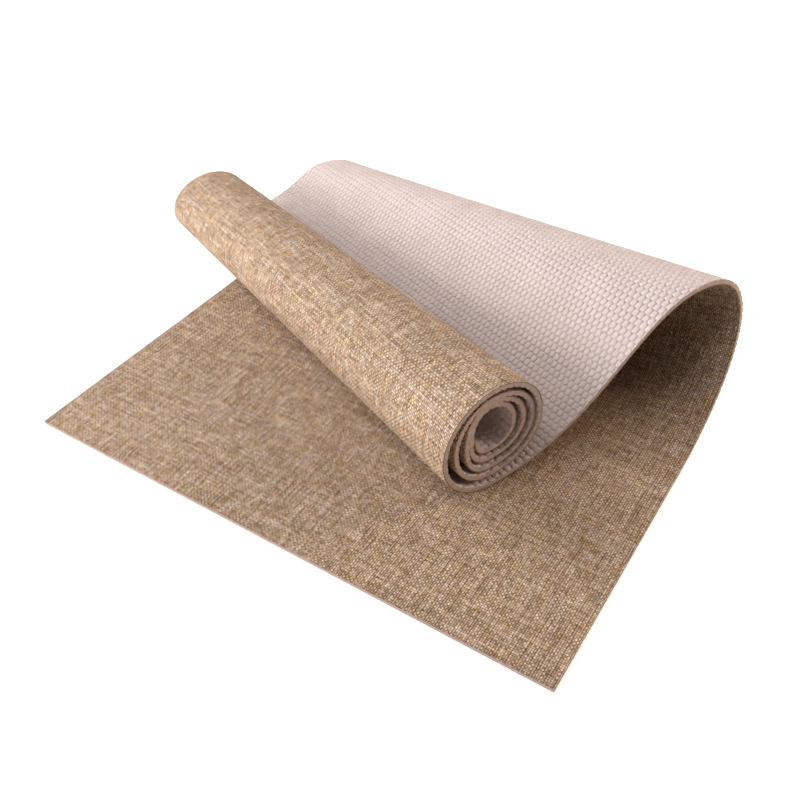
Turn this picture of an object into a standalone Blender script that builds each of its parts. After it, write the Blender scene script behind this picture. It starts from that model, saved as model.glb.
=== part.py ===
"""Yoga mat with a woven jute face on an embossed foam base, lying half unrolled.

The mat is one flat strip. Its front part lies on the floor, jute side up. Further back the strip
lifts, turns over in a fold that is wide at its right end and low at its left end, comes back
foam side up, lands on the front part and is wound up in a loose roll that lies askew across it.

Two edge lines carry the shape, the right edge and the left edge of the strip. Both are made of the
same stretches: the floor, the fold, the panel that comes back, and the turns of the roll. Straight
lines across the strip join them, and each layer is that sheet with its own thickness.

Units are metres. X runs across the mat to the right, Y from the front edge to the back, Z is up.
"""
import math

import bmesh
import bpy
from mathutils import Vector

# Size of the mat, laid out flat
mat_width = 0.610
mat_length = 1.890
jute_thickness = 0.0009
foam_thickness = 0.0048
bond_gap = 0.0003

# Where the roll lies on the front part, taken at the roll's right end
roll_setback = 0.172
roll_inset = 0.153
roll_skew = math.radians(22.4)
roll_lift = 0.0035
rest_gap = 0.0005

# The roll's bore, and the slack between its turns, at the right end and at the left end
right_bore_width = 0.0405
right_bore_height = 0.0460
left_bore_width = 0.0430
left_bore_height = 0.0190
tight_gap = 0.0007
right_slack = 0.0083
left_slack = 0.0020
turn_recess = 0.0024

# The fold and the panel, at the right edge
right_crest_clear = 0.1903
right_crest_height = 0.1562
right_crest_inset = 0.0126
right_crest_reach = 0.1162
right_crest_fall = 0.0916
right_landing_reach = 0.1488
right_lift_lead = 0.1094
right_lift_reach = 0.1807

# The fold and the panel, at the left edge
left_crest_clear = 0.1066
left_crest_height = 0.0664
left_crest_inset = 0.0278
left_crest_reach = 0.0732
left_crest_fall = 0.0367
left_landing_reach = 0.1370
left_lift_lag = 0.0462
left_lift_reach = 0.0447

# Slack left at the bottom, left, top and right of each turn after the first, as shares
slack_shares = (0.64, 1.00, 0.64, 0.02,
                0.12, 1.00, 0.10, 0.35,
                0.41, 0.02, 0.02, 0.48,
                0.28, 0.30, 0.07, 0.30)

# How finely each stretch is divided
fold_steps = 14
panel_steps = 10
steps_per_turn = 32
columns = 2
quarters = 4
halvings = 40
sharp_angle = math.radians(40)

mat_thickness = jute_thickness + bond_gap + foam_thickness
quarter = math.pi / 2
full_turn = 2 * math.pi

# Directions in plan: along the roll from its right end to its left end, and square to that,
# away from the front edge
roll_axis = Vector((-math.cos(roll_skew), math.sin(roll_skew), 0))
roll_away = Vector((math.sin(roll_skew), math.cos(roll_skew), 0))
length_axis = Vector((0, 1, 0))
up = Vector((0, 0, 1))


def clear_scene():
    """Remove the objects that the file opened with."""
    for thing in list(bpy.data.objects):
        bpy.data.objects.remove(thing, do_unlink=True)


def make_material(name, colour, roughness):
    """A plain Principled material."""
    material = bpy.data.materials.new(name)
    material.use_nodes = True
    shader = material.node_tree.nodes["Principled BSDF"]
    shader.inputs["Base Color"].default_value = (*colour, 1)
    shader.inputs["Roughness"].default_value = roughness
    shader.inputs["Metallic"].default_value = 0
    return material


def bezier(points, share):
    """A point of a cubic curve through its first and last control points."""
    rest = 1 - share
    return (points[0] * rest ** 3 + points[1] * (3 * rest * rest * share)
            + points[2] * (3 * rest * share * share) + points[3] * share ** 3)


def slack_share(index):
    """The share of slack at a quarter turn, counted from the second turn; the last turn repeats."""
    last_turn = len(slack_shares) - quarters
    if index >= len(slack_shares):
        index = last_turn + (index - last_turn) % quarters
    return slack_shares[index]


def quarter_depth(index, slack):
    """How deep the strip's outer face lies inside the roll's outline at a quarter turn."""
    depth = 0
    while index >= quarters:
        index -= quarters
        depth += mat_thickness + tight_gap + slack_share(index) * slack
    return depth


def turn_depth(angle, slack):
    """The same depth at any angle of winding, eased from one quarter turn to the next."""
    index = int(angle // quarter)
    share = (1 - math.cos(math.pi * (angle / quarter - index))) / 2
    return quarter_depth(index, slack) * (1 - share) + quarter_depth(index + 1, slack) * share


def outline_half(bore, slack, end_angle):
    """Half of the roll's outer size, from its bore and the turns on both sides of it."""
    inner = turn_depth(end_angle, slack) + turn_depth(max(end_angle - math.pi, 0), slack)
    return bore / 2 + inner / 2 + mat_thickness


def roll_point(landing, half_width, half_height, slack, angle):
    """The middle of the strip at one angle of winding: bottom, left, top, right, and inwards."""
    across = -math.sin(angle)
    rise = -math.cos(angle)
    slope = math.hypot(across / half_width, rise / half_height)
    depth = turn_depth(angle, slack) + mat_thickness / 2
    away = across * half_width - depth * across / half_width / slope
    height = half_height + rise * half_height - depth * rise / half_height / slope
    recess = turn_recess * angle / full_turn
    return (landing + roll_away * away + roll_axis * recess
            + up * (height - mat_thickness / 2))


class EdgeLine:
    """One long edge of the strip, as a row of points in the middle of its thickness."""

    def __init__(self, landing, front, bore, slack, lift, crest, end_angle):
        self.landing = landing
        self.front = front
        self.slack = slack
        self.half_width = outline_half(bore[0], slack, end_angle)
        self.half_height = outline_half(bore[1], slack, end_angle)
        clear, height, inset, reach, fall, landing_reach = crest
        top = landing + roll_away * (self.half_width + clear) - roll_axis * inset
        top.z = height
        lag, lift_reach = lift
        start = Vector((front.x, top.y + lag, front.z))
        self.fold = (start, start + length_axis * lift_reach, top + roll_away * reach, top)
        self.panel = (top, top - roll_away * fall, landing + roll_away * landing_reach, landing)

    def points(self, end_angle, turn_steps):
        """All the points, from the front edge to the inner end of the roll."""
        row = [self.front]
        row += [bezier(self.fold, i / fold_steps) for i in range(fold_steps)]
        row += [bezier(self.panel, i / panel_steps) for i in range(panel_steps)]
        for i in range(turn_steps + 1):
            angle = end_angle * i / turn_steps
            row.append(roll_point(self.landing, self.half_width, self.half_height,
                                  self.slack, angle))
        return row


def edge_lines(end_angle):
    """The right and the left edge line for a roll wound by this angle."""
    middle = mat_thickness / 2
    right_landing = Vector((mat_width / 2 - roll_inset, roll_setback,
                            mat_thickness + roll_lift + middle))
    left_landing = right_landing + roll_axis * mat_width
    # The roll bears on the left edge of the front part, and its left end hangs past it
    bearing_share = (mat_width - roll_inset) / (mat_width * math.cos(roll_skew))
    left_landing.z = right_landing.z - (roll_lift - rest_gap) / bearing_share
    right = EdgeLine(right_landing, Vector((mat_width / 2, 0, middle)),
                     (right_bore_width, right_bore_height), right_slack,
                     (-right_lift_lead, right_lift_reach),
                     (right_crest_clear, right_crest_height, right_crest_inset,
                      right_crest_reach, right_crest_fall, right_landing_reach), end_angle)
    left = EdgeLine(left_landing, Vector((-mat_width / 2, 0, middle)),
                    (left_bore_width, left_bore_height), left_slack,
                    (left_lift_lag, left_lift_reach),
                    (left_crest_clear, left_crest_height, left_crest_inset,
                     left_crest_reach, left_crest_fall, left_landing_reach), end_angle)
    return right, left


def path_length(row):
    """The length of a row of points."""
    return sum((b - a).length for a, b in zip(row, row[1:]))


def mean_length(end_angle):
    """The strip's length, as the mean of its two edges, for a roll wound by this angle."""
    turn_steps = max(1, round(steps_per_turn * end_angle / full_turn))
    lines = edge_lines(end_angle)
    return sum(path_length(line.points(end_angle, turn_steps)) for line in lines) / 2


def winding_angle():
    """The angle of winding that uses up the mat's length, found by halving."""
    low, high = quarter, quarter
    while mean_length(high) < mat_length:
        high += full_turn
    for _ in range(halvings):
        middle = (low + high) / 2
        if mean_length(middle) < mat_length:
            low = middle
        else:
            high = middle
    return (low + high) / 2


def sheet_rows(right_row, left_row):
    """Points across the strip at each step, and the jute side's direction there."""
    rows = []
    for right, left in zip(right_row, left_row):
        rows.append([right.lerp(left, j / columns) for j in range(columns + 1)])
    # The front part is flat, from the front edge to where the fold starts
    normals = [[up] * (columns + 1), [up] * (columns + 1)]
    for before, row, after in zip(rows[1:], rows[2:], rows[3:] + rows[-1:]):
        across = row[-1] - row[0]
        normals.append([(after[j] - before[j]).cross(across).normalized()
                        for j in range(columns + 1)])
    return rows, normals


def layer_object(name, rows, normals, low, high, material):
    """One layer as a closed solid, between two distances from the middle of the strip."""
    mesh = bmesh.new()
    faces = []
    for offset in (low, high):
        faces.append([[mesh.verts.new(point + normal * offset)
                       for point, normal in zip(row, row_normals)]
                      for row, row_normals in zip(rows, normals)])
    bottom, top = faces
    for i in range(len(rows) - 1):
        for j in range(columns):
            mesh.faces.new((top[i][j], top[i + 1][j], top[i + 1][j + 1], top[i][j + 1]))
            mesh.faces.new((bottom[i][j], bottom[i][j + 1], bottom[i + 1][j + 1],
                            bottom[i + 1][j]))
        mesh.faces.new((bottom[i][0], bottom[i + 1][0], top[i + 1][0], top[i][0]))
        mesh.faces.new((bottom[i + 1][-1], bottom[i][-1], top[i][-1], top[i + 1][-1]))
    for j in range(columns):
        mesh.faces.new((bottom[0][j + 1], bottom[0][j], top[0][j], top[0][j + 1]))
        mesh.faces.new((bottom[-1][j], bottom[-1][j + 1], top[-1][j + 1], top[-1][j]))
    bmesh.ops.triangulate(mesh, faces=mesh.faces, quad_method="FIXED")
    data = bpy.data.meshes.new(name)
    mesh.to_mesh(data)
    mesh.free()
    data.shade_smooth()
    data.set_sharp_from_angle(angle=sharp_angle)
    data.materials.append(material)
    thing = bpy.data.objects.new(name, data)
    bpy.context.collection.objects.link(thing)
    return thing


def distance_in_section(point, start, end):
    """How far a point is from a line between two others, seen along the roll."""
    away, run = point - start, end - start
    away -= roll_axis * away.dot(roll_axis)
    run -= roll_axis * run.dot(roll_axis)
    share = min(max(away.dot(run) / run.dot(run), 0), 1)
    return (away - run * share).length


def least_turn_gap(rows, turn_steps, end_angle):
    """The least clear gap between the turns of the roll, measured on their points."""
    turns = rows[-turn_steps - 1:]
    half_turn = round(turn_steps * math.pi / end_angle)
    least = mat_width
    for j in range(columns + 1):
        for i in range(len(turns)):
            for k in range(i + half_turn, len(turns) - 1):
                least = min(least, distance_in_section(turns[i][j], turns[k][j],
                                                       turns[k + 1][j]))
    return least - mat_thickness


def bounds_centre(things):
    """The middle of the bottom of the box round some objects."""
    corners = [vertex.co for thing in things for vertex in thing.data.vertices]
    low = [min(corner[axis] for corner in corners) for axis in range(3)]
    high = [max(corner[axis] for corner in corners) for axis in range(3)]
    return Vector(((low[0] + high[0]) / 2, (low[1] + high[1]) / 2, low[2]))


clear_scene()
end_angle = winding_angle()
turn_steps = round(steps_per_turn * end_angle / full_turn)
right_line, left_line = edge_lines(end_angle)
rows, normals = sheet_rows(right_line.points(end_angle, turn_steps),
                           left_line.points(end_angle, turn_steps))

# The foam base is under the jute on the floor, and inside it in the roll
foam = layer_object("foam_base", rows, normals, -mat_thickness / 2,
                    foam_thickness - mat_thickness / 2,
                    make_material("foam", (0.62, 0.50, 0.45), 0.85))
jute = layer_object("jute_face", rows, normals, mat_thickness / 2 - jute_thickness,
                    mat_thickness / 2, make_material("jute", (0.36, 0.25, 0.14), 0.9))

# The mat's own origin is in the middle of its box, on the floor
origin = bpy.data.objects.new("mat_origin", None)
bpy.context.collection.objects.link(origin)
origin.location = -bounds_centre((foam, jute))
for layer in (foam, jute):
    layer.parent = origin

print("turns %.3f, right edge %.4f, left edge %.4f"
      % (end_angle / full_turn, path_length([row[0] for row in rows]),
         path_length([row[-1] for row in rows])))
print("roll %.4f by %.4f right, %.4f by %.4f left"
      % (2 * right_line.half_width, 2 * right_line.half_height,
         2 * left_line.half_width, 2 * left_line.half_height))
print("least gap between turns %.2f mm" % (least_turn_gap(rows, turn_steps, end_angle) * 1000))
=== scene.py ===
import math

import bmesh
import bpy
import numpy as np
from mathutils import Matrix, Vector


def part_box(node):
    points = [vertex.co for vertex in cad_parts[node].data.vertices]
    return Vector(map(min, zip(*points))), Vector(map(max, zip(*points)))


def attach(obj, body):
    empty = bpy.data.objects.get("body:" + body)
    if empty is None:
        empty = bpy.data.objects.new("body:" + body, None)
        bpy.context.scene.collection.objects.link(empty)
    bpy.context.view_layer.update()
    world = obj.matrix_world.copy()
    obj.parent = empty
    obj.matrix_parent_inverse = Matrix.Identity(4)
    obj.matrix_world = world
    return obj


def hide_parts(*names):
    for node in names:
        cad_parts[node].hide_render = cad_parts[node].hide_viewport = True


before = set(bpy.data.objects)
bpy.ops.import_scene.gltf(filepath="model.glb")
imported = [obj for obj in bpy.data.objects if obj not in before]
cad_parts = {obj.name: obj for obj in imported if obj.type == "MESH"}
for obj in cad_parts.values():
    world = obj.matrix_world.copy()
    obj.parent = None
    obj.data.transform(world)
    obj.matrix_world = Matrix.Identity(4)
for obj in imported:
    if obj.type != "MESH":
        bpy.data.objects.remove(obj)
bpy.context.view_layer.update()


# Foam base. One sheet of soft closed-cell foam, 5.1 mm thick, cast on an embossed belt that leaves
# rows of domed, slightly dished cells on its outer side, each row shifted by half a cell. The slab
# is slit to width, so both long edges cut through the cells, and the whole mat is folded over and
# rolled up with the cells inside.
mat_width = 0.610
mat_length = 1.890
mat_thickness = 0.0060
foam_thickness = 0.0051
hair = 1e-6

# Where the roll lies on the front part, how it leans, and how tightly it is wound
roll_setback = 0.172
roll_inset = 0.153
roll_skew = math.radians(22.4)
roll_lift = 0.0035
rest_gap = 0.0005
wound_turns = 4.186
tight_gap = 0.0007
turn_recess = 0.0024

# For the right edge and the left edge: the bore, the slack between turns, the start of the lift,
# and the crest's clearance, height, inset, reach and fall, with the reach of the landing
right_edge = dict(bore=(0.0405, 0.0460), slack=0.0083, lift=(-0.1094, 0.1807),
                  crest=(0.1903, 0.1562, 0.0126, 0.1162, 0.0916), landing=0.1488)
left_edge = dict(bore=(0.0430, 0.0190), slack=0.0020, lift=(0.0462, 0.0447),
                 crest=(0.1066, 0.0664, 0.0278, 0.0732, 0.0367), landing=0.1370)
# The share of that slack in each quarter turn, from the outermost one inwards
slack_shares = (0.64, 1.00, 0.64, 0.02, 0.12, 1.00, 0.10, 0.35,
                0.41, 0.02, 0.02, 0.48, 0.28, 0.30, 0.07, 0.30)
floor_steps = 60
fold_steps = 160
panel_steps = 120
turn_steps = 128

along_roll = np.array([-math.cos(roll_skew), math.sin(roll_skew), 0])
off_roll = np.array([math.sin(roll_skew), math.cos(roll_skew), 0])


def bend(points, steps):
    """A cubic curve through the first and last of four points, without its last point."""
    share = (np.arange(steps) / steps)[:, None]
    rest = 1 - share
    return (points[0] * rest ** 3 + points[1] * 3 * rest ** 2 * share
            + points[2] * 3 * rest * share ** 2 + points[3] * share ** 3)


def depth_in_roll(angle, slack):
    """How deep the mat's outer face lies inside the roll's outline at an angle of winding."""
    depths = [0.0] * 4
    for share in slack_shares:
        depths.append(depths[-4] + mat_thickness + tight_gap + share * slack)
    quarters = np.asarray(angle) / (math.pi / 2)
    index = np.floor(quarters).astype(int)
    eased = (1 - np.cos(math.pi * (quarters - index))) / 2
    depths = np.array(depths)
    return depths[index] * (1 - eased) + depths[index + 1] * eased


def edge_path(edge, landing, front):
    """One long edge of the mat, in the middle of its thickness, from front edge to inner end."""
    end = wound_turns * 2 * math.pi
    inner = depth_in_roll([end, end - math.pi], edge["slack"]).sum()
    half_width, half_height = (bore / 2 + inner / 2 + mat_thickness for bore in edge["bore"])
    clear, height, inset, reach, fall = edge["crest"]
    crest = landing + off_roll * (half_width + clear) - along_roll * inset
    crest[2] = height
    start = np.array([front[0], crest[1] + edge["lift"][0], front[2]])
    rise = start + np.array([0, edge["lift"][1], 0])
    flat = front + (start - front) * (np.arange(floor_steps) / floor_steps)[:, None]
    fold = bend([start, rise, crest + off_roll * reach, crest], fold_steps)
    panel = bend([crest, crest - off_roll * fall, landing + off_roll * edge["landing"], landing],
                 panel_steps)
    angle = np.linspace(0, end, round(turn_steps * wound_turns) + 1)
    depth = depth_in_roll(angle, edge["slack"]) + mat_thickness / 2
    away, rise = -np.sin(angle), -np.cos(angle)
    slope = np.hypot(away / half_width, rise / half_height)
    away, rise = (away * half_width - depth * away / half_width / slope,
                  half_height + rise * half_height - depth * rise / half_height / slope)
    turns = (landing + off_roll * away[:, None]
             + along_roll * (turn_recess * angle / (2 * math.pi))[:, None]
             + np.array([0, 0, 1]) * (rise - mat_thickness / 2)[:, None])
    return np.vstack([flat, fold, panel, turns])


def length_along(path):
    """The place on the mat, from its front edge, of each point of an edge."""
    run = np.concatenate([[0], np.cumsum(np.linalg.norm(np.diff(path, axis=0), axis=1))])
    landed = floor_steps + fold_steps + panel_steps
    run[landed:] = run[landed] + ((run[landed:] - run[landed]) * (mat_length - run[landed])
                                  / (run[-1] - run[landed]))
    return run


half_thickness = mat_thickness / 2
right_landing = np.array([mat_width / 2 - roll_inset, roll_setback,
                          mat_thickness + roll_lift + half_thickness])
left_landing = right_landing + along_roll * mat_width
left_landing[2] = right_landing[2] - ((roll_lift - rest_gap) * mat_width * math.cos(roll_skew)
                                      / (mat_width - roll_inset))
right_path = edge_path(right_edge, right_landing, np.array([mat_width / 2, 0, half_thickness]))
left_path = edge_path(left_edge, left_landing, np.array([-mat_width / 2, 0, half_thickness]))
right_run, left_run = length_along(right_path), length_along(left_path)
right_way, left_way = np.gradient(right_path, axis=0), np.gradient(left_path, axis=0)
base_low, base_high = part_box("foam_base")
front_right_corner = np.array([base_high.x - mat_width / 2, base_low.y, base_low.z])


def lay_out(flat):
    """Points of the mat as stored, from points of the flat mat: distance from its right edge,
    distance from its front edge, and height over its middle, jute side up."""
    stored = np.empty_like(flat)
    order = np.argsort(flat[:, 0], kind="stable")
    starts = np.flatnonzero(np.diff(flat[order, 0], prepend=-1) > hair / 10)
    steps = np.arange(len(right_path))
    for column in np.split(order, starts[1:]):
        share = flat[column[0], 0] / mat_width
        at = np.interp(flat[column, 1], right_run * (1 - share) + left_run * share, steps)
        right, left, right_ahead, left_ahead = (
            np.stack([np.interp(at, steps, line[:, axis]) for axis in range(3)], 1)
            for line in (right_path, left_path, right_way, left_way))
        normal = np.cross(right_ahead * (1 - share) + left_ahead * share, left - right)
        normal /= np.linalg.norm(normal, axis=1)[:, None]
        stored[column] = (right * (1 - share) + left * share + normal * flat[column, 2:3]
                          + front_right_corner)
    return stored


def stitch(first, first_at, second, second_at):
    """Triangles that join two rows of vertices, each in the order of its places."""
    made, i, j = [], 0, 0
    while i < len(first) - 1 or j < len(second) - 1:
        if j == len(second) - 1 or (i < len(first) - 1 and first_at[i + 1] <= second_at[j + 1]):
            made.append((first[i], first[i + 1], second[j]))
            i += 1
        else:
            made.append((first[i], second[j + 1], second[j]))
            j += 1
    return np.array(made)


def lay_map(mesh, flat):
    """The piece's UV map, with its sheet laid out flat: the outer side in two lengths, the bonded
    side at half size beside them, and the cut edges in rows above."""
    map_size, gap, row_pitch, level = 1.33, 0.010, 0.009, 0.2
    half_length = mat_length / 2
    vertices = np.empty(len(mesh.loops), np.int32)
    mesh.loops.foreach_get("vertex_index", vertices)
    corners = flat[vertices.reshape(-1, 3)]
    across, along, height = corners[..., 0], corners[..., 1], corners[..., 2]
    centre = corners.mean(1, keepdims=True)
    normal = np.cross(corners[:, 1] - corners[:, 0], corners[:, 2] - corners[:, 0])
    upright = abs(normal[:, 2:]) < level * np.linalg.norm(normal, axis=1)[:, None]
    bonded = (abs(height - foam_thickness + half_thickness) < hair).all(1)[:, None]
    far, left = centre[..., 1] > half_length, centre[..., 0] > mat_width / 2
    from_side = np.minimum(centre[..., 0], mat_width - centre[..., 0])
    on_end = np.minimum(centre[..., 1], mat_length - centre[..., 1]) < from_side
    row = np.where(on_end, 4 + far, 2 * left + far)
    x = along - far * half_length
    x = np.where(upright & on_end, across, x)
    x = np.where(bonded, half_length + gap + across / 2, x)
    y = across + far * (mat_width + gap)
    y = np.where(upright, 2 * (mat_width + gap) + row_pitch * row + height, y)
    y = np.where(bonded, along / 2, y)
    places = (np.stack([x, y], -1) + gap) / map_size
    mesh.uv_layers.new(name="OFBake").data.foreach_set("uv", places.astype(np.float32).ravel())


def piece_from(name, flat, triangles, sharp, material):
    """A closed piece from points of the flat mat. It keeps those places for its material."""
    mesh = bpy.data.meshes.new(name)
    mesh.vertices.add(len(flat))
    mesh.vertices.foreach_set("co", lay_out(flat).astype(np.float32).ravel())
    mesh.loops.add(triangles.size)
    mesh.loops.foreach_set("vertex_index", triangles.astype(np.int32).ravel())
    mesh.polygons.add(len(triangles))
    mesh.polygons.foreach_set("loop_start", np.arange(0, triangles.size, 3, dtype=np.int32))
    places = mesh.attributes.new("flat_place", "FLOAT_VECTOR", "POINT")
    places.data.foreach_set("vector", flat.astype(np.float32).ravel())
    mesh.update(calc_edges=True)
    whole = bmesh.new()
    whole.from_mesh(mesh)
    bmesh.ops.recalc_face_normals(whole, faces=whole.faces)
    whole.to_mesh(mesh)
    whole.free()
    lay_map(mesh, flat)
    mesh.shade_smooth()
    mesh.set_sharp_from_angle(angle=sharp)
    mesh.materials.append(material)
    piece = bpy.data.objects.new(name, mesh)
    bpy.context.collection.objects.link(piece)
    return piece


# A cell is drawn once, as rings of twelve points in shares of its pitch across and along, with
# their depth under the skin: the groove round it, the shoulder, the rim, and a dished middle. The
# groove is deepest where three cells meet, and shallow between neighbours in a row.
cells_across = 85
cell_rows = 248
groove_depth = 0.00130
contact_depth = 0.00120
side_depth = 0.00088
shoulder_depth = 0.00050
rim_depth = 0.00009
dish_depth = 0.00013
crest_reach = 0.26
cut_share = 0.25


def ring(*quarter):
    """Twelve points round a cell, from the four between its upper end and its right side."""
    half = list(quarter) + [(a, -b, depth) for a, b, depth in quarter[2:0:-1]]
    return half + [(-a, -b, depth) for a, b, depth in half]


groove = ring((0, .56, groove_depth), (.25, .50, contact_depth), (.50, .44, groove_depth),
              (.50, 0, side_depth))
shoulder = ring((0, .450, shoulder_depth), (.225, .385, shoulder_depth),
                (.390, .220, shoulder_depth), (.442, 0, shoulder_depth))
rim = ring((0, .385, rim_depth), (.190, .330, rim_depth), (.330, .190, rim_depth),
           (.375, 0, rim_depth))


def drawn_cell(rings, crest, keep_above=None, keep_below=None):
    """A cell's points and triangles. Where an edge of the mat cuts it, only one side is kept."""
    drawn = bmesh.new()
    rows = [[drawn.verts.new(point) for point in one] for one in rings]
    faces = [(outer[i - 1], outer[i], inner[i], inner[i - 1])
             for outer, inner in zip(rows, rows[1:]) for i in range(12)]
    last = rows[-1]
    if crest:
        turns = [math.pi * i / 3 for i in range(6)]
        top = [drawn.verts.new((crest * math.sin(turn), crest * math.cos(turn), 0))
               for turn in turns]
        for i in range(6):
            faces += [(last[2 * i - 2], last[2 * i - 1], top[i - 1]),
                      (last[2 * i - 1], last[2 * i], top[i]),
                      (last[2 * i - 1], top[i], top[i - 1])]
        last = top
    middle = drawn.verts.new((0, 0, dish_depth if crest else 0))
    faces += [(last[i - 1], last[i], middle) for i in range(len(last))]
    for face in faces:
        drawn.faces.new(face)
    if keep_above is not None or keep_below is not None:
        cut_at = keep_below if keep_above is None else keep_above
        bmesh.ops.bisect_plane(drawn, geom=[*drawn.verts, *drawn.edges, *drawn.faces], dist=hair,
                               plane_co=(cut_at, 0, 0), plane_no=(1, 0, 0),
                               clear_inner=keep_above is not None,
                               clear_outer=keep_above is None)
    bmesh.ops.triangulate(drawn, faces=drawn.faces)
    drawn.verts.index_update()
    points = np.round([list(vertex.co) for vertex in drawn.verts], 7)
    triangles = np.array([[vertex.index for vertex in face.verts] for face in drawn.faces])
    drawn.free()
    return points, triangles


def stamp(cell, across, along):
    """Copies of a drawn cell at places given in cells, as flat points and triangles."""
    points, faces = cell
    size = np.array([mat_width / cells_across, mat_length / cell_rows])
    flat = np.empty((len(across), len(points), 3))
    flat[:, :, :2] = (np.stack([across, along], 1)[:, None] + points[None, :, :2]) * size
    flat[:, :, 2] = points[:, 2] - half_thickness
    first = (np.arange(len(across)) * len(points))[:, None, None]
    return flat.reshape(-1, 3), (faces[None] + first).reshape(-1, 3)


# Cells that lie against the floor or deep in the roll keep only their main form, but for three
# along each side. The long edges cut a cell of each row at a quarter of its width, now on one side
# of its middle, now on the other.
seen_from = 0.41
seen_to = 0.93
seen_at_side = 3
cell_rings = [groove, shoulder, rim]
row_numbers = np.arange(cell_rows)
shifted = row_numbers % 2 == 1
whole_row, whole_column = np.meshgrid(row_numbers, np.arange(cells_across - 1), indexing="ij")
whole_column = whole_column + np.where(whole_row % 2 == 1, 1 - cut_share, 1 + cut_share)
row_at = (whole_row + .5) * mat_length / cell_rows
seen = ((row_at > seen_from) & (row_at < seen_to)
        | (abs(whole_column - cells_across / 2) > cells_across / 2 - seen_at_side))
stamped = [stamp(drawn_cell(cell_rings, crest_reach), whole_column[seen], whole_row[seen] + .5),
           stamp(drawn_cell([groove], 0), whole_column[~seen], whole_row[~seen] + .5)]
for chosen, cell_at, cut in ((~shifted, cut_share, dict(keep_above=-cut_share)),
                             (shifted, -cut_share, dict(keep_above=cut_share)),
                             (shifted, cells_across - cut_share, dict(keep_below=cut_share)),
                             (~shifted, cells_across + cut_share, dict(keep_below=-cut_share))):
    stamped.append(stamp(drawn_cell(cell_rings, crest_reach, **cut),
                         np.full(chosen.sum(), cell_at), row_numbers[chosen] + .5))

# The side that is bonded to the jute is plain
bonded_columns = 19
bonded_across = np.linspace(0, mat_width, bonded_columns)
bonded_along = np.linspace(0, mat_length, 2 * cell_rows + 1)
bonded = np.stack(np.meshgrid(bonded_across, bonded_along), -1).reshape(-1, 2)
bonded = np.column_stack([bonded, np.full(len(bonded), foam_thickness - half_thickness)])


def grid_triangles(row_count, column_count):
    """Two triangles for each square of a grid of points, which is numbered row by row."""
    corner = (np.arange(row_count - 1)[:, None] * column_count
              + np.arange(column_count - 1)).ravel()
    beyond = corner + column_count
    return np.concatenate([np.stack([corner, corner + 1, beyond + 1], 1),
                           np.stack([corner, beyond + 1, beyond], 1)])


stamped.append((bonded, grid_triangles(2 * cell_rows + 1, bonded_columns)))

# The grooves at the two ends run straight, and neighbouring cells share the vertices of a groove
foam_flat = np.concatenate([flat for flat, faces in stamped])
in_end_groove = foam_flat[:, 2] > contact_depth - half_thickness - hair
near_end = 0.15 * mat_length / cell_rows
foam_flat[in_end_groove & (foam_flat[:, 1] < near_end), 1] = 0
foam_flat[in_end_groove & (foam_flat[:, 1] > mat_length - near_end), 1] = mat_length
firsts = np.cumsum([0] + [len(flat) for flat, faces in stamped[:-1]])
foam_faces = np.concatenate([faces + first for (flat, faces), first in zip(stamped, firsts)])
# Points at one place, to the micron, become one vertex
micron = np.round((foam_flat + mat_thickness) * 1e6).astype(np.int64)
key = (micron[:, 0] << 36) + (micron[:, 1] << 14) + micron[:, 2]
key, once, shared = np.unique(key, return_index=True, return_inverse=True)
foam_flat, foam_faces = foam_flat[once], shared.ravel()[foam_faces]

# The four cut edges join the cells to the bonded side
is_bonded = foam_flat[:, 2] > 0
for axis, edge_at in ((0, 0), (0, mat_width), (1, 0), (1, mat_length)):
    ends = []
    for side in (is_bonded, ~is_bonded):
        on_edge = np.flatnonzero(side & (abs(foam_flat[:, axis] - edge_at) < hair))
        on_edge = on_edge[np.argsort(foam_flat[on_edge, 1 - axis])]
        ends += [on_edge, foam_flat[on_edge, 1 - axis]]
    foam_faces = np.concatenate([foam_faces, stitch(*ends)])


def node(tree, kind, inputs=None, **settings):
    """A shader node with its settings, and with values or links on some of its inputs."""
    made = tree.nodes.new(kind)
    for name, value in settings.items():
        setattr(made, name, value)
    for name, value in (inputs or {}).items():
        if isinstance(value, bpy.types.NodeSocket):
            tree.links.new(value, made.inputs[name])
        else:
            made.inputs[name].default_value = value
    return made


def maths(tree, operation, *values, clamp=False):
    """The result of one calculation."""
    return node(tree, "ShaderNodeMath", dict(enumerate(values)), operation=operation,
                use_clamp=clamp).outputs[0]


def ease(tree, value, low, high):
    """0 below low, 1 above high, and a smooth rise between them."""
    return node(tree, "ShaderNodeMapRange",
                {"Value": value, "From Min": low, "From Max": high},
                interpolation_type="SMOOTHSTEP").outputs["Result"]


def tint(tree, share, first, second, way="MIX"):
    """Two colours mixed, or one laid over the other."""
    return node(tree, "ShaderNodeMix", {0: share, 6: first, 7: second},
                data_type="RGBA", blend_type=way).outputs[2]


def shade(tree, share, colour, second):
    """A colour, multiplied by a second one where share is 1."""
    return tint(tree, share, colour, tint(tree, 1.0, colour, second, "MULTIPLY"))


def vector(tree, x, y, z):
    """Three numbers as one vector."""
    return node(tree, "ShaderNodeCombineXYZ", {0: x, 1: y, 2: z}).outputs[0]


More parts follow.
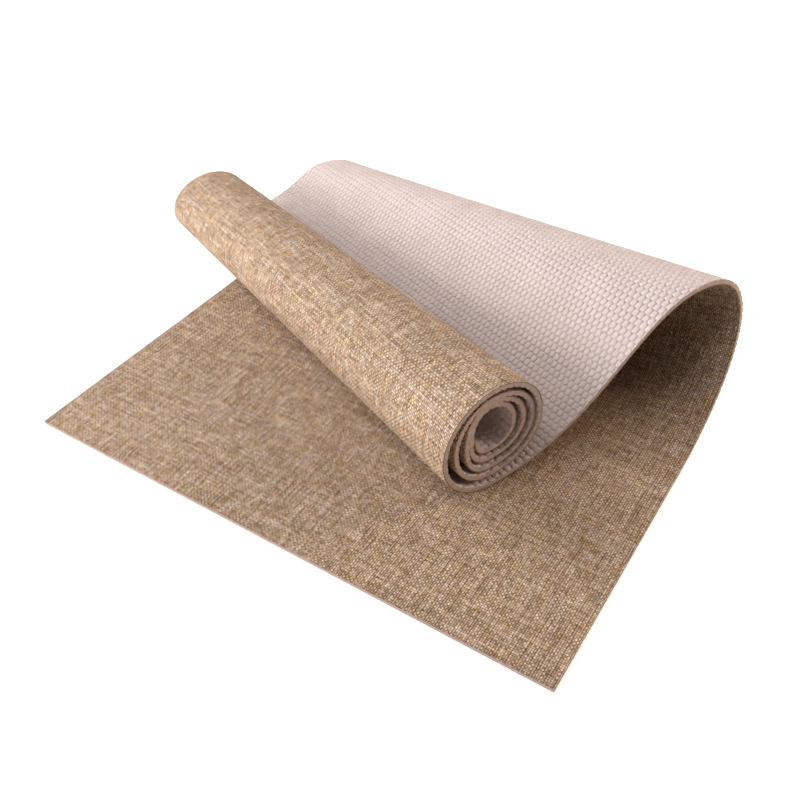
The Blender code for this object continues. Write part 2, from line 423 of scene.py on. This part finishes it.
# Both the foam and the jute vary in tone from place to place
mottle = bpy.data.node_groups.new("mottled tone", "ShaderNodeTree")
mottle.interface.new_socket("Place", in_out="INPUT", socket_type="NodeSocketVector")
mottle.interface.new_socket("Patch across", in_out="INPUT", socket_type="NodeSocketFloat")
mottle.interface.new_socket("Patch along", in_out="INPUT", socket_type="NodeSocketFloat")
mottle.interface.new_socket("Seed", in_out="INPUT", socket_type="NodeSocketFloat")
mottle.interface.new_socket("Tone", in_out="OUTPUT", socket_type="NodeSocketFloat")
given = node(mottle, "NodeGroupInput")
apart = node(mottle, "ShaderNodeSeparateXYZ", {0: given.outputs["Place"]})
patch = vector(mottle, maths(mottle, "DIVIDE", apart.outputs[0], given.outputs["Patch across"]),
               maths(mottle, "DIVIDE", apart.outputs[1], given.outputs["Patch along"]),
               given.outputs["Seed"])
cloud = node(mottle, "ShaderNodeTexNoise", {"Vector": patch, "Scale": 1.0, "Detail": 2.0})
node(mottle, "NodeGroupOutput", {"Tone": ease(mottle, cloud.outputs[0], 0.3, 0.7)})


def mottled(tree, place, across, along, seed):
    """A tone from 0 to 1 that changes over patches of this size."""
    return node(tree, "ShaderNodeGroup",
                {"Place": place, "Patch across": across, "Patch along": along, "Seed": seed},
                node_tree=mottle).outputs["Tone"]


# The skin's colour, and the skin with painted shade for the groove bottoms
foam_skin, painted_groove_shade = (0.700, 0.596, 0.573, 1), (0.655, 0.545, 0.514, 1)
skin_cloud, skin_fleck = (0.94, 0.935, 0.93, 1), (0.95, 0.945, 0.94, 1)
raw_dark, raw_pale = (0.39, 0.278, 0.232, 1), (0.58, 0.435, 0.375, 1)
raw_cloud = (0.90, 0.88, 0.86, 1)
# Patches of another tone: their size across and along the mat, and a seed
skin_patch, skin_speck, raw_patch = (0.05, 0.04, 1.0), (0.004, 0.004, 6.0), (0.006, 0.006, 3.0)
pores_per_metre = 2600.0
grains_per_metre = 1500.0
skin_roughness = 0.58
grain_roughening = 0.2
raw_roughening = 0.2
grain_depth = 0.00012
cut_skin = 0.00003

foam_material = bpy.data.materials.new("embossed foam")
foam_material.use_nodes = True
tree = foam_material.node_tree
place = node(tree, "ShaderNodeAttribute", attribute_name="flat_place").outputs["Vector"]
across, along, height = node(tree, "ShaderNodeSeparateXYZ", {0: place}).outputs
# The skin is painted darker towards the bottoms of the grooves, a painted shade, and the sawn edges
# show the raw foam
depth = maths(tree, "DIVIDE", maths(tree, "ADD", height, half_thickness), groove_depth)
skin = tint(tree, ease(tree, depth, 0.15, 1.0), foam_skin, painted_groove_shade)
skin = shade(tree, mottled(tree, place, *skin_patch), skin, skin_cloud)
skin = shade(tree, mottled(tree, place, *skin_speck), skin, skin_fleck)
pores = node(tree, "ShaderNodeTexVoronoi", {"Vector": place, "Scale": pores_per_metre})
pore = ease(tree, pores.outputs["Distance"], 0.0, 0.6)
raw = tint(tree, pore, raw_dark, raw_pale)
raw = shade(tree, mottled(tree, place, *raw_patch), raw, raw_cloud)
from_side = maths(tree, "MINIMUM", across, maths(tree, "SUBTRACT", mat_width, across))
from_end = maths(tree, "MINIMUM", along, maths(tree, "SUBTRACT", mat_length, along))
is_cut = maths(tree, "LESS_THAN", maths(tree, "MINIMUM", from_side, from_end), cut_skin)
grain = node(tree, "ShaderNodeTexNoise",
             {"Vector": place, "Scale": grains_per_metre, "Detail": 3.0}).outputs[0]
rough = maths(tree, "MULTIPLY_ADD", grain, grain_roughening, skin_roughness)
relief = maths(tree, "MULTIPLY_ADD", is_cut, pore, grain)
shader = tree.nodes["Principled BSDF"]
tree.links.new(tint(tree, is_cut, skin, raw), shader.inputs["Base Color"])
tree.links.new(maths(tree, "MULTIPLY_ADD", is_cut, raw_roughening, rough),
               shader.inputs["Roughness"])
tree.links.new(node(tree, "ShaderNodeBump", {"Height": relief, "Strength": 0.5,
                                             "Distance": grain_depth}).outputs[0],
               shader.inputs["Normal"])
shader.inputs["Specular IOR Level"].default_value = 0.25
shader.inputs["Metallic"].default_value = 0

foam = piece_from("foam", foam_flat, foam_faces, sharp=math.radians(75),
                  material=foam_material)
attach(foam, "root")
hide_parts("foam_base")


# Jute face. One sheet of plain-woven jute cloth, laminated all over to the flat side of the foam
# and cut flush with it, so its raw edge shows short thread ends on all four sides. The yarn is
# spun unevenly, with thick slubs and thin stretches, and its tone runs from cream to dark tan.
jute_thickness = 0.0009
jute_top = half_thickness
jute_back = jute_top - jute_thickness
jute_columns = 62
jute_rows = 700
edge_band = 0.0030
cloth_unevenness = 0.00012
thread_pitch = 0.00225
thread_end = 0.0003
long_ends, short_ends = (0.2, 1.0), (-0.6, 0.0)

chance = np.random.default_rng(7)
grid_across = np.linspace(edge_band, mat_width - edge_band, jute_columns)
grid_along = np.linspace(edge_band, mat_length - edge_band, jute_rows)
waves = chance.standard_normal((jute_rows, jute_columns))
for _ in range(3):
    waves = (waves + np.roll(waves, 1, 0) + np.roll(waves, -1, 0)
             + np.roll(waves, 1, 1) + np.roll(waves, -1, 1)) / 5
waves *= cloth_unevenness / abs(waves).max()

# The cloth's outline, round the four edges, has a thread end in every other point
cloth_corners = np.array([(0, 0), (mat_width, 0), (mat_width, mat_length), (0, mat_length), (0, 0)])
outline = [cloth_corners[0]]
corner_numbers = [0]
for start, end in zip(cloth_corners, cloth_corners[1:]):
    run = np.linalg.norm(end - start)
    outward = np.array([end[1] - start[1], start[0] - end[0]]) / run
    steps = 2 * round(run / thread_pitch)
    for i in range(1, steps):
        reach = chance.uniform(*(long_ends if i % 2 else short_ends))
        outline.append(start + (end - start) * i / steps + outward * reach * thread_end)
    outline.append(end)
    corner_numbers.append(corner_numbers[-1] + steps)
outline = np.array(outline[:-1], float)
count = len(outline)

grid = np.stack(np.meshgrid(grid_across, grid_along), -1).reshape(-1, 2)
size = len(grid)
jute_flat = np.concatenate([
    np.column_stack([outline, np.full(count, jute_top)]),
    np.column_stack([outline, np.full(count, jute_back)]),
    np.column_stack([grid, jute_top + waves.ravel()]),
    np.column_stack([grid, np.full(size, jute_back)])])
edge_points = np.arange(count)
onward = (edge_points + 1) % count
jute_faces = [np.stack([edge_points, onward, onward + count], 1),
              np.stack([edge_points, onward + count, edge_points + count], 1)]
numbers = np.arange(size).reshape(jute_rows, jute_columns)
for edge_first, grid_first in ((0, 2 * count), (count, 2 * count + size)):
    jute_faces.append(grid_first + grid_triangles(jute_rows, jute_columns))
    for side, border in enumerate((numbers[0], numbers[:, -1], numbers[-1, ::-1],
                                   numbers[::-1, 0])):
        on_edge = np.arange(corner_numbers[side], corner_numbers[side + 1] + 1) % count
        jute_faces.append(stitch(edge_first + on_edge, np.linspace(0, 1, len(on_edge)),
                                 grid_first + border, np.linspace(0, 1, len(border))))
jute_faces = np.concatenate(jute_faces)

warp_dark, warp_pale = (0.508, 0.358, 0.250, 1), (0.726, 0.564, 0.439, 1)
weft_dark, weft_pale = (0.300, 0.186, 0.112, 1), (0.490, 0.340, 0.233, 1)
cream_fibre, dark_fibre = (0.871, 0.746, 0.640, 1), (0.173, 0.103, 0.055, 1)
# Painted shade for the gaps of the weave, and for the cut edge of the cloth
weave_gap_shade, cut_edge_shade = (0.075, 0.044, 0.025, 1), (0.11, 0.068, 0.038, 1)
slub_dark, slub_pale = (0.79, 0.765, 0.72, 1), (1.20, 1.215, 1.24, 1)
cloth_dark, cloth_pale = (0.89, 0.865, 0.82, 1), (1.07, 1.085, 1.11, 1)
golden, pink = (1.0, 0.95, 0.80, 1), (1.0, 0.94, 0.94, 1)
fibre_share, gap_shade_share, pale_share, edge_shade_share = 0.40, 0.20, 0.13, 0.80

# A thread's stray, uneven spacing, half width, swelling, roundness and crimp, in thread pitches
stray_per_metre = 14.0
stray = 0.9
uneven_spacing = 0.9
thin_thread = 0.37
slub_swelling = 0.13
thread_roundness = 0.55
crimp = 0.42
# How often the yarn changes along a thread, and how its fibres and the weave stand up
slubs_per_metre = 26.0
warp_slub_rate, weft_slub_rate, pale_rate = 2.4, 1.1, 0.35
apart_in_noise = 5.17
fibres_per_metre = 4000.0
fibre_relief = 0.2
dull, smoother = 0.92, 0.2
weave_depth = 0.0004
cut_depth = 0.00015

jute_material = bpy.data.materials.new("woven jute")
jute_material.use_nodes = True
tree = jute_material.node_tree
place = node(tree, "ShaderNodeAttribute", attribute_name="flat_place").outputs["Vector"]
across, along, height = node(tree, "ShaderNodeSeparateXYZ", {0: place}).outputs

# Warp threads run along the mat and weft threads across it, nearly straight
wander = node(tree, "ShaderNodeTexNoise",
              {"Vector": place, "Scale": stray_per_metre, "Detail": 3.0}).outputs[1]
aside = node(tree, "ShaderNodeSeparateXYZ", {0: wander}).outputs
warp_at = maths(tree, "MULTIPLY_ADD", across, 1 / thread_pitch,
                maths(tree, "MULTIPLY", aside[0], stray))
weft_at = maths(tree, "MULTIPLY_ADD", along, 1 / thread_pitch,
                maths(tree, "MULTIPLY", aside[1], stray))
warp = maths(tree, "FLOOR", warp_at)
weft = maths(tree, "FLOOR", weft_at)
odd = maths(tree, "FLOORED_MODULO", maths(tree, "ADD", warp, weft), 2.0)
warp_up = maths(tree, "MULTIPLY_ADD", odd, -2.0, 1.0)


def along_thread(tree, number, run, seed):
    """A value for a thread of this number that changes slowly along its run."""
    return node(tree, "ShaderNodeTexNoise",
                {"Vector": vector(tree, maths(tree, "MULTIPLY", number, apart_in_noise),
                                  maths(tree, "MULTIPLY", run, slubs_per_metre), seed),
                 "Scale": 1.0, "Detail": 3.0}).outputs[0]


def off_middle(tree, at, number, run, seed):
    """How far a place lies off the middle of its thread, which isn't quite evenly spaced."""
    sideways = maths(tree, "MULTIPLY_ADD", along_thread(tree, number, run, seed),
                     uneven_spacing, -0.5 - uneven_spacing / 2)
    return maths(tree, "ADD", maths(tree, "SUBTRACT", at, number), sideways)


def thread_height(tree, off_own, off_other, tone, rise):
    """The upper side of a thread: round across, and up and down over the other threads."""
    width = maths(tree, "MULTIPLY_ADD", tone, slub_swelling, thin_thread)
    aside = maths(tree, "DIVIDE", off_own, width)
    left = maths(tree, "SUBTRACT", 1.0, maths(tree, "MULTIPLY", aside, aside), clamp=True)
    crest = maths(tree, "MULTIPLY", maths(tree, "COSINE",
                                          maths(tree, "MULTIPLY", off_other, math.pi)), rise)
    return maths(tree, "MULTIPLY_ADD", crest, crimp,
                 maths(tree, "MULTIPLY", maths(tree, "SQRT", left), thread_roundness))


off_warp = off_middle(tree, warp_at, warp, along, 3.1)
off_weft = off_middle(tree, weft_at, weft, across, 9.7)
warp_tone = ease(tree, along_thread(tree, warp, along, 0.0), 0.30, 0.70)
weft_tone = ease(tree, along_thread(tree, weft, across, 7.3), 0.30, 0.70)
warp_height = thread_height(tree, off_warp, off_weft, warp_tone, warp_up)
weft_height = thread_height(tree, off_weft, off_warp, weft_tone,
                            maths(tree, "MULTIPLY", warp_up, -1.0))
top = maths(tree, "MAXIMUM", warp_height, weft_height)
warp_shows = maths(tree, "GREATER_THAN", warp_height, weft_height)
crossing = node(tree, "ShaderNodeTexWhiteNoise",
                {"Vector": vector(tree, warp, weft, warp_shows)}).outputs["Value"]

# The warp is paler than the weft. Single crossings show cream or dark fibre, and painted shade
# darkens the cloth where one thread dives under another and between the warp threads
colour = tint(tree, warp_shows, tint(tree, weft_tone, weft_dark, weft_pale),
              tint(tree, warp_tone, warp_dark, warp_pale))
colour = tint(tree, maths(tree, "MULTIPLY", ease(tree, crossing, 0.55, 1.0), fibre_share),
              colour, cream_fibre)
colour = tint(tree, maths(tree, "MULTIPLY", ease(tree, crossing, 0.40, 0.0), fibre_share),
              colour, dark_fibre)
colour = tint(tree, ease(tree, top, 0.80, 0.20), colour, weave_gap_shade)
between_warps = ease(tree, maths(tree, "ABSOLUTE", off_warp), 0.30, 0.50)
colour = tint(tree, maths(tree, "MULTIPLY", between_warps, gap_shade_share), colour, weave_gap_shade)

# Golden and pink patches, then light and dark bars where the yarn was thick or thin
for across_size, along_size, seed, patch_tint in ((0.011, 0.015, 2.0, golden),
                                                  (0.020, 0.016, 5.0, pink)):
    patch = ease(tree, mottled(tree, place, across_size, along_size, seed), 0.35, 1.0)
    colour = shade(tree, patch, colour, patch_tint)
bars = 0.0
for across_size, along_size, seed in ((0.0032, 0.014, 4.0), (0.016, 0.0032, 8.0),
                                      (0.0090, 0.011, 12.0)):
    bars = maths(tree, "ADD", mottled(tree, place, across_size, along_size, seed), bars)
colour = tint(tree, 1.0, colour, tint(tree, ease(tree, bars, 0.6, 2.4), cloth_dark, cloth_pale),
              "MULTIPLY")

# Slubs in single threads of both directions, and a few weft threads that stay pale for long
slub = maths(tree, "ADD",
             along_thread(tree, warp, maths(tree, "MULTIPLY", along, warp_slub_rate), 21.0),
             along_thread(tree, weft, maths(tree, "MULTIPLY", across, weft_slub_rate), 25.0))
colour = shade(tree, ease(tree, slub, 1.00, 0.76), colour, slub_dark)
colour = shade(tree, ease(tree, slub, 1.00, 1.24), colour, slub_pale)
long_run = along_thread(tree, weft, maths(tree, "MULTIPLY", across, pale_rate), 35.0)
colour = tint(tree, maths(tree, "MULTIPLY", ease(tree, long_run, 0.58, 0.68), pale_share),
              colour, cream_fibre)

# The cut edge is painted dark, a painted shade on the thread ends
is_edge = maths(tree, "LESS_THAN", height, jute_top - cut_depth)
colour = tint(tree, maths(tree, "MULTIPLY", is_edge, edge_shade_share), colour, cut_edge_shade)

fibre = node(tree, "ShaderNodeTexNoise",
             {"Vector": place, "Scale": fibres_per_metre, "Detail": 2.0}).outputs[0]
relief = maths(tree, "MULTIPLY_ADD", fibre, fibre_relief, top)
shader = tree.nodes["Principled BSDF"]
tree.links.new(colour, shader.inputs["Base Color"])
tree.links.new(maths(tree, "MULTIPLY_ADD", crossing, -smoother, dull),
               shader.inputs["Roughness"])
tree.links.new(node(tree, "ShaderNodeBump", {"Height": relief, "Strength": 0.9,
                                             "Distance": weave_depth}).outputs[0],
               shader.inputs["Normal"])
shader.inputs["Specular IOR Level"].default_value = 0.25
shader.inputs["Metallic"].default_value = 0

jute = piece_from("jute", jute_flat, jute_faces, sharp=math.radians(60),
                  material=jute_material)
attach(jute, "root")
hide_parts("jute_face")


# Floor, light and camera. A plain white studio floor, soft lamps mainly on the left of the mat,
# weaker ones behind and above it, a warm one on its right, and faint warm light from all round.
# The camera looks down at the near end of the roll from the front and the right.
floor_reach = 9.0
floor_grey = 0.90
near_glow, near_reach = 0.5, 1.0
far_glow, far_reach = 1.0, 3.0
fill_colour, fill_strength = (1, 0.86, 0.74, 1), 0.09
lamp_target = Vector((0, 0, 0.05))
camera_place = (0.490, -0.735, 0.7037)
camera_tilt = math.radians(48.45)
camera_turn = math.radians(32.47)
lens_angle = math.radians(45.95)

floor_mesh = bpy.data.meshes.new("floor")
floor_mesh.from_pydata([(-floor_reach, -floor_reach, 0), (floor_reach, -floor_reach, 0),
                        (floor_reach, floor_reach, 0), (-floor_reach, floor_reach, 0)],
                       [], [(0, 1, 2, 3)])
floor = bpy.data.objects.new("floor", floor_mesh)
bpy.context.collection.objects.link(floor)
floor_material = bpy.data.materials.new("studio floor")
floor_material.use_nodes = True
tree = floor_material.node_tree
shader = tree.nodes["Principled BSDF"]
shader.inputs["Base Color"].default_value = (floor_grey, floor_grey, floor_grey, 1)
shader.inputs["Roughness"].default_value = 0.9
shader.inputs["Specular IOR Level"].default_value = 0.1
shader.inputs["Emission Color"].default_value = (1, 1, 1, 1)
# Overexposed in view, as a studio sweep is, and more so further off, but it doesn't light the mat
in_view = node(tree, "ShaderNodeLightPath").outputs["Is Camera Ray"]
from_mat = node(tree, "ShaderNodeVectorMath",
                {0: node(tree, "ShaderNodeNewGeometry").outputs["Position"]},
                operation="LENGTH").outputs["Value"]
glow = maths(tree, "MULTIPLY_ADD", ease(tree, from_mat, near_reach, far_reach),
             far_glow - near_glow, near_glow)
tree.links.new(maths(tree, "MULTIPLY", in_view, glow), shader.inputs["Emission Strength"])
floor_mesh.materials.append(floor_material)


def soft_lamp(name, place, size, power, colour=(1, 1, 1)):
    """A square lamp aimed at the mat."""
    data = bpy.data.lights.new(name, "AREA")
    data.size = size
    data.energy = power
    data.color = colour
    lamp = bpy.data.objects.new(name, data)
    lamp.location = place
    lamp.rotation_euler = (lamp_target - lamp.location).to_track_quat("-Z", "Y").to_euler()
    bpy.context.collection.objects.link(lamp)


soft_lamp("left_lamp", (-1.8, -0.4, 0.8), 1.0, 25)
soft_lamp("high_left_lamp", (-1.6, 0.0, 1.5), 0.7, 15)
soft_lamp("front_left_lamp", (-0.9, -1.7, 0.6), 1.0, 30)
soft_lamp("back_lamp", (0.4, 2.0, 1.4), 1.2, 15)
soft_lamp("back_right_lamp", (1.5, 1.2, 0.8), 1.0, 23, (1.0, 0.85, 0.70))
soft_lamp("top_lamp", (0.0, 0.0, 2.2), 2.0, 11)

world = bpy.data.worlds.new("studio")
bpy.context.scene.world = world
world.use_nodes = True
tree = world.node_tree
backdrop = node(tree, "ShaderNodeBackground", {"Color": (1, 1, 1, 1), "Strength": 1.0})
fill_light = node(tree, "ShaderNodeBackground",
                  {"Color": fill_colour, "Strength": fill_strength})
in_view = node(tree, "ShaderNodeLightPath").outputs["Is Camera Ray"]
both = node(tree, "ShaderNodeMixShader", {0: in_view, 1: fill_light.outputs[0],
                                          2: backdrop.outputs[0]})
tree.links.new(both.outputs[0], tree.nodes["World Output"].inputs["Surface"])

camera_data = bpy.data.cameras.new("camera")
camera_data.angle = lens_angle
camera = bpy.data.objects.new("camera", camera_data)
camera.location = camera_place
camera.rotation_euler = (camera_tilt, 0, camera_turn)
bpy.context.collection.objects.link(camera)
bpy.context.scene.camera = camera
bpy.context.scene.view_settings.view_transform = "Standard"

bpy.context.view_layer.update()
